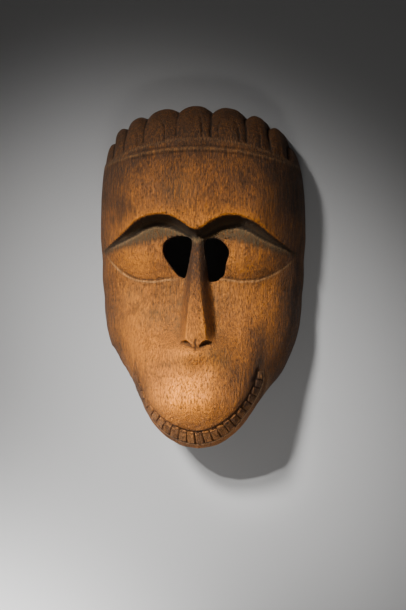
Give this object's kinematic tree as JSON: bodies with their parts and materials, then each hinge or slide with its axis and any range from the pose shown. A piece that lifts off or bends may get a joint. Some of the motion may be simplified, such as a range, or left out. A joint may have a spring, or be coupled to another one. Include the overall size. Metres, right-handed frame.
{
  "type": "carved wooden mask",
  "caption": "Hollow wooden monkey-face mask with cut-out eyes, a long ridged nose, a jutting muzzle with a row of teeth and a crown of rounded petals.",
  "frame": {"origin": "middle of the mask's width and length, on the plane of its rim, where it lies face up", "axes": "+X to the right of someone who faces the mask, +Y to the crown, +Z out of the face"},
  "size_m": [0.1556, 0.2569, 0.0975],
  "materials": {
    "old_wood": "hand-carved hardwood with an oiled, worn satin surface and a dark patina in the cuts"
  },
  "bodies": {
    "root": {"carved_mask": "old_wood"}
  },
  "joints": []
}
